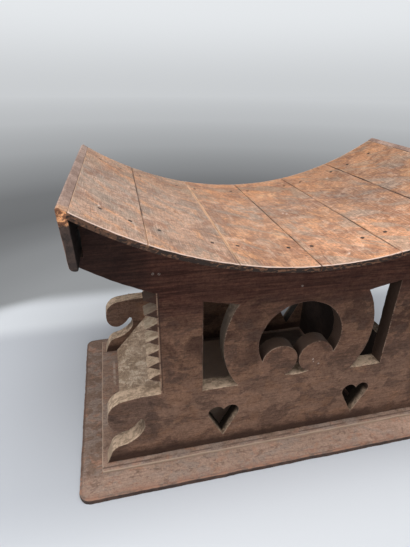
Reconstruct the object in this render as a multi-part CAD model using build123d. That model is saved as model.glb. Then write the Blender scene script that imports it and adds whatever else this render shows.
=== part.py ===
"""Carved plank stool: a curved slatted seat on two pierced side panels.

All sizes are in millimetres. +X runs along the stool, +Y towards its back, +Z up.
The origin is on the floor, under the middle of the overall length and depth.
Heights of the carving are measured from the top of the plinth board.
"""

import math
import os

from build123d import *

# ---- base ------------------------------------------------------------------
base_length = 480.0
base_depth = 272.6
base_thickness = 6.2
base_corner_radius = 12.0
base_edge_round = 2.0
base_forward = 7.6          # the base board sits this far in front of the panels' middle

plinth_length = 433.6
plinth_depth = 232.5
plinth_thickness = 3.0
plinth_corner_radius = 3.0
plinth_edge_round = 1.0

# ---- side panels -----------------------------------------------------------
panels_width = 212.2        # outer face to outer face
panel_thickness = 16.9
body_half_width = 149.1     # middle of the panel to its straight side

# ---- seat ------------------------------------------------------------------
seat_height = 243.8         # floor to the lowest point of the seat's top
seat_radius = 386.0         # hollow of the seat's top, along the stool
slat_thickness = 5.6
slat_gap = 0.5
seat_half_length = 213.6
seat_offset = -3.6          # the seat's middle, along X, from the panels' middle
seat_front_overhang = 29.5
seat_back_overhang = 32.0
slat_joints = (-153.6, -82.8, -8.3, 69.3, 138.9)

# ---- end caps --------------------------------------------------------------
cap_thickness = 8.4
cap_depth = 46.8            # down the inner face
cap_tuck = 2.0              # how far the inner face leans in on its way down
cap_lean = 3.6              # how far the outer face leans in on its way down
cap_edge_round = 2.0        # upper outer edge
cap_outer_round = 4.6       # lower edge, outer side
cap_inner_round = 1.6       # lower edge, inner side
cap_gap = 0.8               # between a cap and the ends of the panels

# ---- carving of a side panel -----------------------------------------------
ring_radius = 46.2
ring_height = 133.4
disc_radius = 20.4
disc_spread = 20.9          # middle of the panel to a disc's centre
disc_height = 107.9
window_arc_radius = 84.1    # round inner side of the side windows, about the ring
window_outer = 105.0
window_inner_low = 67.1
window_inner_high = 70.2
window_sill = 84.2
window_top_outer = 192.6
window_top_inner = 185.0
heart_spread = 80.9
heart_tip = 12.8
heart_cleft = 50.2
heart_half_width = 16.9
heart_lobe_height = 47.8

tooth_count = 7
tooth_pitch = 15.2
tooth_height = 10.4
tooth_reach = 11.9
lowest_tooth = 109.5

apron_root = 206.6
apron_sag = 2.2             # dip of the apron's lower edge below a straight line
shoulder_reach = 5.2        # how far a panel's end corner reaches out under a cap
shoulder_depth = 9.2        # height of that corner

# A foot's outline, as reaches from the panel's side and heights above the plinth.
foot_toe_reach = 61.7
foot_instep = ((56.9, 12.2), (51.9, 20.2), (37.7, 25.8), (26.6, 33.0), (19.4, 42.8), (18.6, 51.2))
foot_slot_end = ((19.8, 56.6), (22.3, 57.2))
foot_scroll = ((27.4, 50.8), (33.1, 46.0), (40.4, 43.1), (48.4, 45.6), (54.1, 52.6), (55.6, 62.8),
               (53.3, 75.0), (46.3, 82.6), (34.9, 86.7), (20.9, 87.9))
foot_top = 88.6

# ---- boards between the panels ---------------------------------------------
partition_inner = 105.6     # middle of the stool to a partition's inner face
partition_thickness = 12.0
partition_height = 114.0
board_clearance = 0.3       # between a board and what stands beside it
slope_foot = 194.0          # middle of the stool to a sloped board's foot
slope_angle = 50.0
slope_thickness = 8.0
slope_foot_step = 2.0       # upright edge left at the foot

# ---- nails -----------------------------------------------------------------
nail_shank = 1.8
nail_head = 3.2
nail_head_thickness = 0.8
nail_sink = 0.2
nail_clearance = 0.05
nail_point = 3.0
seat_nail_length = 26.0
cap_nail_length = 30.0
base_nail_length = 25.0
seat_nail_from_joint = 12.0
seat_nail_from_cap = 20.0
front_nail_inset = 13.0     # from the panel's outer face
back_nail_inset = 4.0
cap_nail_drop = 32.0        # below the outer face's upper edge
panel_nail_places = (-185.0, -120.0, -40.0, 40.0, 120.0, 185.0)
partition_nail_spread = 45.0

# ---- places worked out from the sizes --------------------------------------
panel_outer = panels_width / 2
panel_inner = panel_outer - panel_thickness
seat_front = -panel_outer - seat_front_overhang
seat_back = panel_outer + seat_back_overhang
base_front = -base_depth / 2 - base_forward
base_back = base_depth / 2 - base_forward
depth_low = min(base_front, seat_front)
depth_high = max(base_back, seat_back)
middle_y = -(depth_low + depth_high) / 2    # the panels' middle, from the origin

plinth_top = base_thickness + plinth_thickness
seat_centre_z = seat_height + seat_radius
seat_under_radius = seat_radius + slat_thickness
seat_left = seat_offset - seat_half_length
seat_right = seat_offset + seat_half_length
slats_left = seat_left + cap_thickness
slats_right = seat_right - cap_thickness
cap_outers = {-1: -seat_left, 1: seat_right}    # middle to a cap's outer face, by side
seat_depth = seat_back - seat_front


def seat_top(x):
    """Height of the seat's top surface at a distance x along the stool."""
    return seat_centre_z - math.sqrt(seat_radius**2 - x**2)


def seat_under(x):
    """Height of the slats' lower surface at a distance x along the stool."""
    return seat_centre_z - math.sqrt(seat_under_radius**2 - x**2)


def cap_low(outer):
    """Height of the lower edge of the cap whose outer face is at a distance along the stool."""
    return seat_top(outer - cap_thickness) - cap_depth


def closed_face(curves):
    """A flat face inside curves that join end to end."""
    return make_face([edge for curve in curves for edge in curve.edges()])


def mirrored(curves):
    """The same curves on the left-hand side."""
    return [mirror(curve, Plane.YZ) for curve in curves]


def upright(outline, back_y, depth):
    """Extrude an XZ outline towards the front, from back_y, by depth."""
    plane = Plane.XZ.offset(-(middle_y + back_y))
    return extrude(plane * outline, depth)


def rounded_board(length, depth, thickness, corner, edge, centre_y, low_z):
    """A flat board with round corners and an eased top edge."""
    outline = RectangleRounded(length, depth, corner)
    board = extrude(Pos(0, middle_y + centre_y, low_z) * outline, thickness)
    top_edges = board.edges().group_by(Axis.Z)[-1]
    return fillet(top_edges, edge)


# ---- nails -----------------------------------------------------------------
def nail_solid(length, extra=0.0):
    """A nail along -Z with its head's top at the origin; extra widens it into a hole."""
    hung = (Align.CENTER, Align.CENTER, Align.MAX)
    head = Cylinder(nail_head / 2 + extra, nail_head_thickness + extra, align=hung)
    shank_length = length - nail_point
    shank = Cylinder(nail_shank / 2 + extra, shank_length, align=hung)
    tip_low = nail_shank / 8 + extra
    tip = Cone(nail_shank / 2 + extra, tip_low, nail_point + extra, rotation=(180, 0, 0),
               align=(Align.CENTER, Align.CENTER, Align.MIN))
    return head + shank + Pos(0, 0, -shank_length) * tip


def nail_hole(length):
    """The space a nail takes, with its clearance, open above the head."""
    mouth = Cylinder(nail_head / 2 + nail_clearance, nail_sink + nail_clearance,
                     align=(Align.CENTER, Align.CENTER, Align.MIN))
    return nail_solid(length, nail_clearance) + mouth


def seat_nail_xs():
    """Nail places along the seat: both sides of each joint and near each cap."""
    places = [slats_left + seat_nail_from_cap, slats_right - seat_nail_from_cap]
    for joint in slat_joints:
        places += [joint - seat_nail_from_joint, joint + seat_nail_from_joint]
    return sorted(places)


def seat_nail_places():
    """Locations of the seat's nails, square to the curved top and sunk a little."""
    lines = (-panel_outer + front_nail_inset, panel_outer - back_nail_inset)
    places = []
    for y in lines:
        for x in seat_nail_xs():
            lean = math.degrees(math.asin(x / seat_radius))
            surface = Pos(x, middle_y + y, seat_top(x)) * Rot(0, -lean, 0)
            places.append(surface * Pos(0, 0, -nail_sink))
    return places


def cap_nail_places():
    """Locations of the caps' nails, square to the outer face, one into each end of each panel."""
    panel_middle = panel_outer - panel_thickness / 2
    places = []
    for side, outer in cap_outers.items():
        high = seat_top(outer)
        lean = math.atan2(cap_lean, high - cap_low(outer))
        x = outer - cap_nail_drop * math.tan(lean)
        for y in (-panel_middle, panel_middle):
            face = Pos(side * x, middle_y + y, high - cap_nail_drop)
            places.append(face * Rot(0, side * (90 + math.degrees(lean)), 0) * Pos(0, 0, -nail_sink))
    return places


def base_nail_places():
    """Locations of the nails driven up through the base into panels and partitions."""
    panel_middle = panel_outer - panel_thickness / 2
    partition_middle = partition_inner + partition_thickness / 2
    points = [(x, y) for x in panel_nail_places for y in (-panel_middle, panel_middle)]
    points += [(x, y) for x in (-partition_middle, partition_middle)
               for y in (-partition_nail_spread, partition_nail_spread)]
    return [Pos(x, middle_y + y, nail_sink) * Rot(180, 0, 0) for x, y in points]


def drive(piece, places, length):
    """Cut the nails' holes out of a piece."""
    for place in places:
        piece -= place * nail_hole(length)
    return piece


# ---- base and plinth -------------------------------------------------------
def make_base():
    board = rounded_board(base_length, base_depth, base_thickness, base_corner_radius,
                          base_edge_round, -base_forward, 0)
    return drive(board, base_nail_places(), base_nail_length)


def make_plinth():
    board = rounded_board(plinth_length, plinth_depth, plinth_thickness, plinth_corner_radius,
                          plinth_edge_round, 0, base_thickness)
    return drive(board, base_nail_places(), base_nail_length)


# ---- side panels -----------------------------------------------------------
def place_foot(points):
    """Turn reaches and heights into outline points on the right-hand side."""
    return [(body_half_width + reach, plinth_top + height) for reach, height in points]


def half_outline(outer):
    """Edges of the panel's right half, from the foot's bottom up to the seat.

    The cap's outer face is at a distance outer from the panel's middle.
    """
    toe = (body_half_width + foot_toe_reach, plinth_top)
    slot_start, slot_crown = place_foot(foot_slot_end)
    instep = [toe] + place_foot(foot_instep) + [slot_start]
    scroll_end = (body_half_width, plinth_top + foot_top)
    scroll = [slot_crown] + place_foot(foot_scroll) + [scroll_end]
    edges = [Line((0, plinth_top), toe), Spline(*instep)]
    edges.append(Line(slot_start, slot_crown))
    edges.append(Spline(*scroll, tangents=((0.68, -0.73), (-1, 0))))

    side = [scroll_end]
    for index in range(tooth_count):
        middle = plinth_top + lowest_tooth + index * tooth_pitch
        side.append((body_half_width, middle - tooth_height / 2))
        side.append((body_half_width + tooth_reach, middle))
        side.append((body_half_width, middle + tooth_height / 2))
    apron_start = (body_half_width, plinth_top + apron_root)
    side.append(apron_start)
    edges.append(Polyline(*side))

    end = outer - cap_thickness - cap_tuck - cap_gap
    shoulder_z = cap_low(outer) - cap_gap
    corner = (end + shoulder_reach, shoulder_z - shoulder_depth)
    middle = ((apron_start[0] + corner[0]) / 2, (apron_start[1] + corner[1]) / 2 - apron_sag)
    upper = (end, seat_under(end))
    edges.append(ThreePointArc(apron_start, middle, corner))
    edges.append(Polyline(corner, (corner[0], shoulder_z), (end, shoulder_z), upper))
    edges.append(ThreePointArc(upper, (end / 2, seat_under(end / 2)), (0, seat_under(0))))
    return edges


def heart_outline(centre_x):
    """A heart: two round lobes and two straight sides down to the tip."""
    cleft_rise = heart_cleft - heart_lobe_height
    lobe_centre = (heart_half_width**2 - cleft_rise**2) / (2 * heart_half_width)
    lobe_radius = heart_half_width - lobe_centre
    drop = heart_lobe_height - heart_tip
    to_tip = math.hypot(lobe_centre, drop)
    lean = math.atan2(drop, lobe_centre)
    tangent_turn = math.acos(lobe_radius / to_tip)
    angle = math.pi + lean + tangent_turn
    touch = (lobe_centre + lobe_radius * math.cos(angle), heart_lobe_height + lobe_radius * math.sin(angle))
    cleft = (0, heart_cleft)
    crown = (lobe_centre, heart_lobe_height + lobe_radius)
    right = [Line((0, heart_tip), touch),
             ThreePointArc(touch, (lobe_centre + lobe_radius, heart_lobe_height), crown),
             ThreePointArc(crown, (lobe_centre - lobe_radius * math.sin(math.radians(45)),
                                   heart_lobe_height + lobe_radius * math.cos(math.radians(45))), cleft)]
    return Pos(centre_x, plinth_top) * closed_face(right + mirrored(right))


def window_outline():
    """The right-hand side window, with its round inner side."""
    low_inner = (window_inner_low, plinth_top + window_sill)
    high_inner = (window_inner_high, plinth_top + window_top_inner)
    high_outer = (window_outer, plinth_top + window_top_outer)
    low_outer = (window_outer, plinth_top + window_sill)
    bulge = (window_arc_radius, plinth_top + ring_height)
    edges = [ThreePointArc(high_inner, bulge, low_inner),
             Line(low_inner, low_outer), Line(low_outer, high_outer), Line(high_outer, high_inner)]
    return closed_face(edges)


def ring_outline():
    """The round hole, less the two discs that stand in it."""
    hole = Pos(0, plinth_top + ring_height) * Circle(ring_radius)
    for side in (-1, 1):
        hole -= Pos(side * disc_spread, plinth_top + disc_height) * Circle(disc_radius)
    return hole


def panel_face():
    """The whole outline of a side panel with everything that is cut through it."""
    right = half_outline(cap_outers[1])
    left = mirrored(half_outline(cap_outers[-1]))
    face = closed_face(right + left)
    window = window_outline()
    face -= window + mirror(window, Plane.YZ)
    face -= heart_outline(heart_spread) + heart_outline(-heart_spread)
    return face - ring_outline()


def make_panel(back_y):
    """A side panel whose rear face is at back_y from the panels' middle."""
    panel = upright(panel_face(), back_y, panel_thickness)
    panel = drive(panel, seat_nail_places(), seat_nail_length)
    panel = drive(panel, cap_nail_places(), cap_nail_length)
    return drive(panel, base_nail_places(), base_nail_length)


# ---- boards between the panels ---------------------------------------------
def make_partition(side):
    """An upright board across the stool, from panel to panel."""
    width = 2 * (panel_inner - board_clearance)
    centre_x = side * (partition_inner + partition_thickness / 2)
    board = Pos(centre_x, middle_y, plinth_top) * Box(
        partition_thickness, width, partition_height, align=(Align.CENTER, Align.CENTER, Align.MIN))
    return drive(board, base_nail_places(), base_nail_length)


def make_slope(side):
    """A board that leans on the partition and comes down to the plinth's end."""
    rise = math.tan(math.radians(slope_angle))
    upright_thickness = slope_thickness / math.cos(math.radians(slope_angle))
    lean_x = partition_inner + partition_thickness + board_clearance
    step_z = plinth_top + slope_foot_step
    foot_high = (slope_foot, step_z)
    crown = (lean_x, step_z + (slope_foot - lean_x) * rise)
    heel = (lean_x, crown[1] - upright_thickness)
    under_foot = (slope_foot - (upright_thickness - slope_foot_step) / rise, plinth_top)
    points = [foot_high, crown, heel, under_foot, (slope_foot, plinth_top)]
    outline = make_face(Polyline(*[(side * x, z) for x, z in points], close=True))
    edge_y = panel_inner - board_clearance
    return upright(outline, edge_y, 2 * edge_y)


# ---- seat ------------------------------------------------------------------
def make_slat(start, end):
    """One curved slat between two places along the stool."""
    middle = (start + end) / 2
    edges = [ThreePointArc((start, seat_top(start)), (middle, seat_top(middle)), (end, seat_top(end))),
             Line((end, seat_top(end)), (end, seat_under(end))),
             ThreePointArc((end, seat_under(end)), (middle, seat_under(middle)), (start, seat_under(start))),
             Line((start, seat_under(start)), (start, seat_top(start)))]
    slat = upright(closed_face(edges), seat_back, seat_depth)
    return drive(slat, seat_nail_places(), seat_nail_length)


def make_slats():
    """All slats from left to right."""
    bounds = [slats_left] + list(slat_joints) + [slats_right]
    half = slat_gap / 2
    return [make_slat(low + half, high - half) for low, high in zip(bounds[:-1], bounds[1:])]


def make_cap(side):
    """A board hung at the seat's end, whose top goes on with the seat's hollow."""
    outer = cap_outers[side]
    inner = outer - cap_thickness
    low = cap_low(outer)
    corners = [(inner, seat_under(inner)), (inner, seat_top(inner)), (outer, seat_top(outer)),
               (outer - cap_lean, low), (inner - cap_tuck, low)]
    rounds = [0, 0, cap_edge_round, cap_outer_round, cap_inner_round]
    outline = FilletPolyline(*[(side * x, z) for x, z in corners], radius=rounds, close=True)
    cap = upright(make_face(outline), seat_back, seat_depth)
    return drive(cap, cap_nail_places(), cap_nail_length)


# ---- write every piece -----------------------------------------------------
def make_nails(places, length):
    """A group of nails, each a solid of its own."""
    return Compound(children=[place * nail_solid(length) for place in places])


def make_pieces():
    """Every piece of the stool by its node's name."""
    pieces = {
        "base_board": make_base(),
        "plinth_board": make_plinth(),
        "front_panel": make_panel(-panel_inner),
        "back_panel": make_panel(panel_outer),
        "left_partition": make_partition(-1),
        "right_partition": make_partition(1),
        "left_end_slope": make_slope(-1),
        "right_end_slope": make_slope(1),
        "left_end_cap": make_cap(-1),
        "right_end_cap": make_cap(1),
        "seat_nails": make_nails(seat_nail_places(), seat_nail_length),
        "cap_nails": make_nails(cap_nail_places(), cap_nail_length),
        "base_nails": make_nails(base_nail_places(), base_nail_length),
    }
    for number, slat in enumerate(make_slats(), start=1):
        pieces[f"seat_slat_{number}"] = slat
    return pieces


os.makedirs("parts", exist_ok=True)
for node, shape in make_pieces().items():
    export_step(shape, f"parts/{node}.step")
    print(node, round(shape.volume))
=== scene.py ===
# %% [markdown]
# # A carved plank stool
# This lesson dresses a plank stool: a curved seat of six slats on two pierced side panels,
# which stand on a stepped base. The solids come ready made, at their real size. Here each
# board gets what saw, knife and a long life of use gave the real one: eased and dented
# edges, faces that are not quite flat, and wood with grain, wear and dust.

# %% Load the frame
import math

import bpy
import numpy as np
from mathutils import Matrix, Vector
from mathutils.geometry import delaunay_2d_cdt


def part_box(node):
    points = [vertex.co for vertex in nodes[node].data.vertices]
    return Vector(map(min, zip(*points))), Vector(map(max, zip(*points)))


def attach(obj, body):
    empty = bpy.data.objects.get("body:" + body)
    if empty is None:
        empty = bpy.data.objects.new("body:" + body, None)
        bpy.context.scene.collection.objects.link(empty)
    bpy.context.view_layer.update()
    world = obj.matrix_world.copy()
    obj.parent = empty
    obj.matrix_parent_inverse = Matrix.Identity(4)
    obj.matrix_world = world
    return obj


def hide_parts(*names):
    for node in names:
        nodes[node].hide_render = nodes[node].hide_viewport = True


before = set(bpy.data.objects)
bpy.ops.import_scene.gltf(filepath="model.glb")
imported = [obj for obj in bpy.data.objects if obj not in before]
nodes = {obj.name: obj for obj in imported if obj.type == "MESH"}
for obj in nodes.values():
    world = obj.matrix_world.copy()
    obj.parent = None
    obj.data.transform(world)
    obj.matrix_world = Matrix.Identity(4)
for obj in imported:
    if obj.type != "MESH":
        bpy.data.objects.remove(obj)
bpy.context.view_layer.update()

mm = 0.001

# %% [markdown]
# ## Smooth unevenness
# A hand-worked board is never exact. One function gives a smooth, repeatable unevenness at
# any point of space: a few plane waves in random directions, added up. Because it depends
# only on the place, two faces that share an edge move together and no crack opens.

# %% Waves through space


def waves(points, wavelength, seed, count=14):
    """Sum of sine waves in random directions, scaled to about -1..1.

    Each wave is sin(2 pi (direction . point) / length + phase), with lengths between 0.7
    and 1.6 times the wavelength.
    """
    rng = np.random.default_rng(seed)
    directions = rng.normal(size=(count, points.shape[-1]))
    directions /= np.linalg.norm(directions, axis=1, keepdims=True)
    lengths = wavelength * rng.uniform(0.7, 1.6, count)
    phases = rng.uniform(0, 2 * np.pi, count)
    angles = 2 * np.pi * (points @ directions.T) / lengths + phases
    return np.sin(angles).sum(axis=-1) / math.sqrt(count) * 0.8


def wave_share(points, wavelength, seed):
    """The same waves as a share from 0 to 1."""
    return np.clip(0.5 + 0.5 * waves(points, wavelength, seed), 0, 1)


def smooth_step(values, start, end):
    """0 before start, 1 after end, and 3t^2 - 2t^3 between."""
    share = np.clip((values - start) / (end - start), 0, 1)
    return share * share * (3 - 2 * share)


trial = waves(np.random.default_rng(1).uniform(0, 1, (2000, 3)), 0.1, 5)
print("waves: mean %.2f, spread %.2f" % (trial.mean(), trial.std()))

# %% [markdown]
# ## Outlines
# Most boards of the stool are flat planks with an outline that was sawn or carved through.
# Drawing the outlines again could go wrong, so they are read from the solids: the border
# of the flat end face is a closed run of points for the outer outline and one for each
# hole.

# %% Read the outlines of a flat face


def mesh_arrays(node):
    """A node's places, each kept once, and its triangles as rows of three place numbers."""
    mesh = nodes[node].data
    places = np.empty(len(mesh.vertices) * 3)
    mesh.vertices.foreach_get("co", places)
    mesh.calc_loop_triangles()
    corners = np.empty(len(mesh.loop_triangles) * 3, int)
    mesh.loop_triangles.foreach_get("vertices", corners)
    spots, ids = np.unique(np.round(places.reshape(-1, 3), 6), axis=0, return_inverse=True)
    return spots, ids.reshape(-1)[corners].reshape(-1, 3)


def outlines_of(node, axis):
    """Closed outlines of a node's lowest flat face across an axis, in that face's plane.

    A triangle belongs to the face if its three corners lie in the end plane. An edge that
    only one of these triangles has is on the border, and border edges are chained.
    """
    spots, triangles = mesh_arrays(node)
    level = spots[:, axis].min()
    flat = np.all(np.abs(spots[triangles][:, :, axis] - level) < 2e-6, axis=1)
    sides = np.concatenate([triangles[flat][:, pair] for pair in ([0, 1], [1, 2], [2, 0])])
    code = sides.min(axis=1) * len(spots) + sides.max(axis=1)
    values, counts = np.unique(code, return_counts=True)
    following = dict(sides[np.isin(code, values[counts == 1])].tolist())
    plane = [index for index in range(3) if index != axis]
    loops = []
    while following:
        start, point = following.popitem()
        chain = [start]
        while point != start:
            chain.append(point)
            point = following.pop(point)
        loops.append(spots[chain][:, plane])
    return wood_on_left([without_repeats(loop) for loop in loops])


def without_repeats(loop, least=0.08 * mm):
    """The outline without points that nearly repeat the one before."""
    return loop[np.linalg.norm(loop - np.roll(loop, 1, axis=0), axis=1) > least]


def signed_area(loop):
    """Half the sum of cross products of neighbouring points; positive anticlockwise."""
    following = np.roll(loop, -1, axis=0)
    return 0.5 * np.sum(loop[:, 0] * following[:, 1] - following[:, 0] * loop[:, 1])


def outer(loops):
    """The outline that encloses the largest area."""
    return max(loops, key=lambda loop: abs(signed_area(loop)))


def wood_on_left(loops):
    """Turn the outer outline anticlockwise and the holes clockwise."""
    rim = outer(loops)
    return [loop if (signed_area(loop) > 0) == (loop is rim) else loop[::-1] for loop in loops]


panel_outline = outlines_of("front_panel", 1)
print("side panel:", len(panel_outline), "outlines,", sum(map(len, panel_outline)), "points")

# %% [markdown]
# ## Changing an outline
# An outline of a plank has long straight stretches with only two points, which cannot
# wander. So it is divided first. Then each point gets a direction into the wood, along
# which edges are eased and hand cuts wander. They only move inwards, so that a board stays
# inside its solid.

# %% Divide, offset and wobble an outline


def refined(loop, spacing):
    """The same outline with its long straight stretches divided evenly."""
    following = np.roll(loop, -1, axis=0)
    lengths = np.linalg.norm(following - loop, axis=1)
    counts = np.maximum(1, np.ceil(lengths / spacing).astype(int))
    index = np.repeat(np.arange(len(loop)), counts)
    step = np.arange(len(index)) - np.repeat(np.cumsum(counts) - counts, counts)
    share = (step / counts[index])[:, None]
    return loop[index] * (1 - share) + following[index] * share


def inward(loop, longest=2.6):
    """Directions into the wood at each outline point, longer at corners.

    The direction is the mean of the two neighbouring edge normals, scaled so that both
    edges move in by one, but never by more than the longest allowed.
    """
    ahead = np.roll(loop, -1, axis=0) - loop
    ahead /= np.maximum(np.linalg.norm(ahead, axis=1, keepdims=True), 1e-12)
    normal = np.stack([-ahead[:, 1], ahead[:, 0]], axis=1)
    both = normal + np.roll(normal, 1, axis=0)
    length = np.maximum(np.linalg.norm(both, axis=1, keepdims=True), 1e-9)
    return both / length * np.minimum(2 / length, longest)


def hand_cut(loop, amount, seed):
    """An outline that wanders into the wood by 0 to amount, in long and short waves."""
    share = 0.5 + 0.35 * waves(loop, 45 * mm, seed) + 0.2 * waves(loop, 9 * mm, seed + 1)
    return loop + inward(loop) * (amount * np.clip(share, 0, 1))[:, None]


def inside(points, loops):
    """Even-odd rule: a ray to the right of a point in the wood crosses the outlines an odd
    number of times."""
    crossings = np.zeros(len(points), int)
    y = points[:, 1][:, None]
    for loop in loops:
        a, b = loop, np.roll(loop, -1, axis=0)
        spans = (a[:, 1] > y) != (b[:, 1] > y)
        rise = np.where(b[:, 1] == a[:, 1], 1e-12, b[:, 1] - a[:, 1])
        crossing_x = a[:, 0] + (y - a[:, 1]) * (b[:, 0] - a[:, 0]) / rise
        crossings += np.sum(spans & (points[:, 0][:, None] < crossing_x), axis=1)
    return crossings % 2 == 1


def distance_to(points, others, block=1500):
    """Distance from each point to the nearest of some others, worked out in blocks."""
    parts = [np.linalg.norm(points[i:i + block, None] - others[None], axis=2).min(axis=1)
             for i in range(0, len(points), block)]
    return np.concatenate(parts) if parts else np.zeros(0)


divided = refined(outer(panel_outline), 1.8 * mm)
print("rim of the side panel: %d points once divided, %.0f mm round" % (
    len(divided), np.linalg.norm(np.roll(divided, -1, axis=0) - divided, axis=1).sum() / mm))

# %% [markdown]
# ## From an outline to a board
# A modifier could bevel the sharp solid, but its bevel would be the same everywhere and
# would fail where carved curves meet. Here the board is built up in rows instead. Each
# outline is carried from one face to the other along a small quarter round, a straight
# wall and another quarter round, and the radius of the rounds follows how worn the place
# is. The two flat faces are filled with triangles, fine enough to be a little uneven.

# %% Fill a face


def filled(rims, grid, spots):
    """Triangles between closed rims, round a grid of points and chosen spots.

    A belt of points runs along the rims, a little inside, so that what fades away from an
    edge fades over a short, even distance.
    """
    rim = np.concatenate(rims)
    xs = np.arange(rim[:, 0].min() + grid / 2, rim[:, 0].max(), grid)
    ys = np.arange(rim[:, 1].min() + grid / 2, rim[:, 1].max(), grid)
    lattice = np.stack(np.meshgrid(xs, ys), axis=-1).reshape(-1, 2)
    belt = np.concatenate([(loop + inward(loop) * (0.4 * grid))[::2] for loop in rims])
    for chosen in (belt, spots):
        if len(chosen):
            lattice = lattice[distance_to(lattice, chosen) > grid / 3]
            lattice = np.concatenate([lattice, chosen])
    lattice = lattice[inside(lattice, rims)]
    lattice = lattice[distance_to(lattice, rim) > 0.25 * grid]
    points = np.concatenate([rim, lattice])
    starts = np.cumsum([0] + [len(part) for part in rims])
    edges = []
    for start, part in zip(starts, rims):
        here = start + np.arange(len(part))
        edges += np.stack([here, np.roll(here, -1)], axis=1).tolist()
    found = delaunay_2d_cdt([Vector(point) for point in points], edges, [], 0, 1e-8)
    made, triangles, origins = np.array(found[0]), np.array(found[2]), found[3]
    triangles = triangles[inside(made[triangles].mean(axis=1), rims)]
    a, b, c = (made[triangles[:, k]] for k in range(3))
    area = (b - a)[:, 0] * (c - a)[:, 1] - (b - a)[:, 1] * (c - a)[:, 0]
    triangles[area < 0] = triangles[area < 0][:, ::-1]
    source = np.array([min(origin) if origin else -1 for origin in origins])
    return made, triangles, np.where(source < len(rim), source, -1)


print("face of the side panel: %d triangles" % len(filled(panel_outline, 10 * mm, ())[1]))

# %% [markdown]
# With its faces filled, the rest of a board is rows of points. Each point also keeps its
# distance from the middle of the nearest eased edge, because a finish has to know where
# wood is rubbed, and a material cannot find edges by itself.

# %% Carry outlines into a board


def make_board(name, node, loops, low, high, place, ease_low, ease_high, slot, finish=None,
               tone=0.5, grid=5 * mm, wall_gap=4 * mm, spots=(), shape=None, rounds=4):
    """A board from outlines in a plane, between two levels across it.

    At turn t of a quarter round, from 0 to 90 degrees, the outline stands in from its own
    line by ease (1 - sin t), and its level is ease (1 - cos t) from the face. place turns
    points in the plane, with their level, into places of the stool; shape then moves them.
    Each point also keeps how far it is, along the surface, from the middle of its round.
    """
    turns = np.linspace(0, np.pi / 2, rounds)
    middle = np.pi / 4
    steps = np.linspace(0, 1, max(2, round((high - low) / wall_gap)) + 1)[1:-1]
    points, edge, faces = [], [], []
    rims = {"low": [], "high": []}
    count = 0
    for loop in loops:
        first, last = ease_low(loop), ease_high(loop)
        rows = [(first * (1 - math.sin(turn)), low + first * (1 - math.cos(turn)),
                 first * abs(turn - middle)) for turn in turns]
        for step in steps:
            level = (low + first) * (1 - step) + (high - last) * step
            reach = np.minimum(level - low - first * (1 - middle),
                               high - level - last * (1 - middle))
            rows.append((0 * first, level, reach))
        rows += [(last * (1 - math.sin(turn)), high - last * (1 - math.cos(turn)),
                  last * abs(turn - middle)) for turn in turns[::-1]]
        direction = inward(loop)
        for inset, level, reach in rows:
            points.append(np.column_stack([loop + direction * inset[:, None], level]))
            edge.append(reach)
        here = np.arange(len(loop))
        ahead = np.roll(here, -1)
        for step in range(len(rows) - 1):
            start = count + step * len(loop)
            above = start + len(loop)
            quads = [start + here, start + ahead, above + ahead, above + here]
            faces.append(np.stack(quads, axis=1))
        rims["low"].append(count + here)
        rims["high"].append(count + (len(rows) - 1) * len(loop) + here)
        count += len(rows) * len(loop)
    points = np.concatenate(points)
    edge = np.concatenate(edge)
    faces = np.concatenate(faces).tolist()
    for side, level in (("low", low), ("high", high)):
        ids = np.concatenate(rims[side])
        flat_rims = [points[rim][:, :2] for rim in rims[side]]
        made, triangles, source = filled(flat_rims, grid, spots if side == "high" else ())
        index = np.full(len(made), -1)
        index[source >= 0] = ids[source[source >= 0]]
        fresh = np.where(source < 0)[0]
        index[fresh] = len(points) + np.arange(len(fresh))
        reach = distance_to(made[fresh], np.concatenate(flat_rims)) + np.median(edge[ids])
        added = np.column_stack([made[fresh], np.full(len(fresh), level)])
        points = np.concatenate([points, added])
        edge = np.concatenate([edge, reach])
        order = [0, 1, 2] if side == "high" else [2, 1, 0]
        faces += index[triangles][:, order].tolist()
    stain = np.zeros(len(points))
    if shape:
        points, stain = shape(points)
    return make_piece(name, node, place(points), faces, slot,
                      {"edge": edge, "stain": stain, "tone": np.full(len(points), tone)}, finish)


def make_piece(name, node, places, faces, slot, values, finish=None, smooth_angle=40):
    """A mesh piece that rides on the stool, stands for a node and carries values."""
    mesh = bpy.data.meshes.new(name)
    mesh.from_pydata(places.tolist(), [], faces)
    for label, numbers in values.items():
        layer = mesh.attributes.new(label, "FLOAT", "POINT")
        layer.data.foreach_set("value", numbers.astype(np.float32))
    mesh.polygons.foreach_set("use_smooth", np.ones(len(faces), bool))
    mesh.set_sharp_from_angle(angle=math.radians(smooth_angle))
    mesh.materials.append(finishes[finish or slot])
    piece = bpy.data.objects.new(name, mesh)
    bpy.context.scene.collection.objects.link(piece)
    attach(piece, "root")
    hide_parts(node)
    triangles = sum(len(face) - 2 for face in faces)
    print(f"{name}: {len(places)} vertices, {triangles} triangles")
    return piece


def worn_arris(least, most, seed, length=22 * mm):
    """An ease that changes along the outline between two radii, with longer sharp runs."""
    def ease(loop):
        return least + (most - least) * wave_share(loop, length, seed) ** 2
    return ease


# %% [markdown]
# ## Shader maths
# Materials are built from nodes, and sums of many nodes are hard to read. A small class
# wraps one output of a node, so that masks can be written as ordinary sums.

# %% A field of values over a surface


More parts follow.
